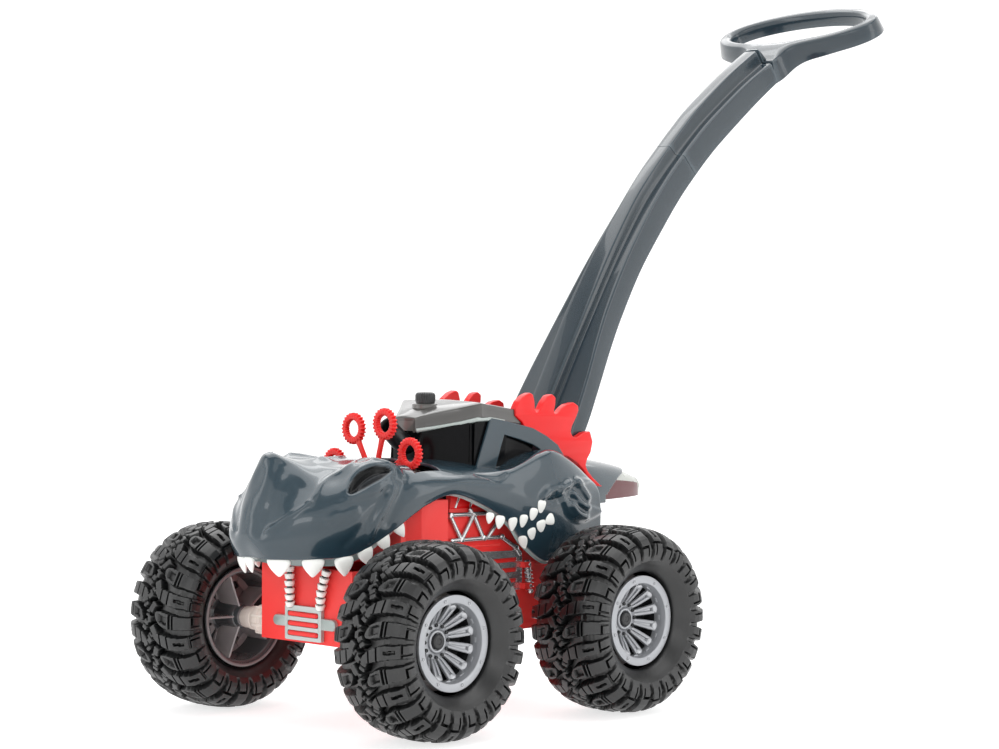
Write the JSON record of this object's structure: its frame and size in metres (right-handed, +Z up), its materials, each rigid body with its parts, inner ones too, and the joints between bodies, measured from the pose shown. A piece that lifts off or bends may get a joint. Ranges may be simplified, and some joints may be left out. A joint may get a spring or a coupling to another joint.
{
  "type": "bubble machine push toy",
  "caption": "Crocodile-headed monster truck bubble blower with a long push handle, lugged wheels, a turning wand wheel in the hood and a button on the roof.",
  "frame": {"origin": "on the ground, under the centre of the whole toy's length and width with the push handle fitted", "axes": "+X to the truck's left side, +Y from the snout towards the push handle, +Z up"},
  "size_m": [0.2746, 0.6318, 0.532],
  "materials": {
    "shell_grey": "gloss",
    "red_plastic": "satin",
    "black_plastic": "satin",
    "roof_plastic": "matte",
    "tyre_plastic": "satin",
    "silver_plastic": "metallic",
    "ivory_plastic": "satin",
    "steel": "satin",
    "glazing": "gloss",
    "maroon_plastic": "satin",
    "dark_plastic": "matte",
    "white_nylon": "satin",
    "battery_can": "satin",
    "motor_can": "satin"
  },
  "bodies": {
    "truck": {"chassis_tub": "red_plastic", "front_grille": "silver_plastic", "side_truss_left": "silver_plastic", "side_truss_right": "silver_plastic", "front_axle_housing": "ivory_plastic", "rear_axle_housing": "ivory_plastic", "body_shell": "shell_grey", "body_screw_front": "steel", "body_screw_rear_left": "steel", "body_screw_rear_right": "steel", "cab_glazing": "glazing", "roof_panel": "roof_plastic", "power_switch": "dark_plastic", "crest_left": "red_plastic", "crest_right": "red_plastic", "tail_cowl": "shell_grey", "tail_core": "maroon_plastic", "handle_lower": "shell_grey", "handle_upper": "shell_grey", "solution_tank": "maroon_plastic", "gear_bridge": "dark_plastic", "drive_motor": "motor_can", "fan_housing": "dark_plastic", "fan_lid": "dark_plastic", "air_duct": "dark_plastic", "air_nozzle": "black_plastic", "battery_box": "dark_plastic", "battery_1": "battery_can", "battery_2": "battery_can", "battery_3": "battery_can", "battery_4": "battery_can"},
    "front_wheelset": {"front_axle": "steel", "tyre_front_left": "tyre_plastic", "rim_front_left": "silver_plastic", "wheel_core_front_left": "dark_plastic", "hub_cap_front_left": "black_plastic", "tyre_front_right": "tyre_plastic", "rim_front_right": "silver_plastic", "wheel_core_front_right": "dark_plastic", "hub_cap_front_right": "black_plastic"},
    "rear_wheelset": {"rear_axle": "steel", "tyre_rear_left": "tyre_plastic", "rim_rear_left": "silver_plastic", "wheel_core_rear_left": "dark_plastic", "hub_cap_rear_left": "black_plastic", "tyre_rear_right": "tyre_plastic", "rim_rear_right": "silver_plastic", "wheel_core_rear_right": "dark_plastic", "hub_cap_rear_right": "black_plastic"},
    "wand_rotor": {"wand_wheel": "red_plastic", "wand_shaft": "steel", "wand_gear": "white_nylon"},
    "idler_gear": {"compound_gear": "white_nylon"},
    "fan_rotor": {"motor_shaft": "steel", "motor_pinion": "white_nylon", "fan_impeller": "white_nylon"},
    "push_button": {"power_button": "black_plastic"},
    "battery_hatch": {"battery_door": "red_plastic", "battery_screw": "steel"}
  },
  "joints": [
    {"name": "front_wheels_roll", "type": "hinge", "parent": "truck", "child": "front_wheelset", "pos_m": [0, -0.24788, 0.065], "axis": [1, 0, 0], "continuous": true},
    {"name": "rear_wheels_roll", "type": "hinge", "parent": "truck", "child": "rear_wheelset", "pos_m": [0, -0.06469, 0.065], "axis": [1, 0, 0], "continuous": true},
    {"name": "wand_wheel_turn", "type": "hinge", "parent": "truck", "child": "wand_rotor", "pos_m": [0, -0.20028, 0.161], "axis": [0, 1, 0], "continuous": true},
    {"name": "idler_gear_turn", "type": "hinge", "parent": "truck", "child": "idler_gear", "pos_m": [-0.01386, -0.1668, 0.153], "axis": [0, 1, 0], "continuous": true},
    {"name": "fan_turn", "type": "hinge", "parent": "truck", "child": "fan_rotor", "pos_m": [0, -0.1416, 0.145], "axis": [0, 1, 0], "continuous": true},
    {"name": "power_button_press", "type": "slide", "parent": "truck", "child": "push_button", "axis": [0, 0, -1], "range_m": [0, 0.0025], "stiffness_N_per_m": 400},
    {"name": "battery_door_off", "type": "slide", "parent": "truck", "child": "battery_hatch", "axis": [0, 0, -1], "range_m": [0, 0.05]}
  ],
  "couplings": [
    {"joint": "idler_gear_turn", "follows": "wand_wheel_turn", "ratio": -3},
    {"joint": "fan_turn", "follows": "wand_wheel_turn", "ratio": 9}
  ]
}
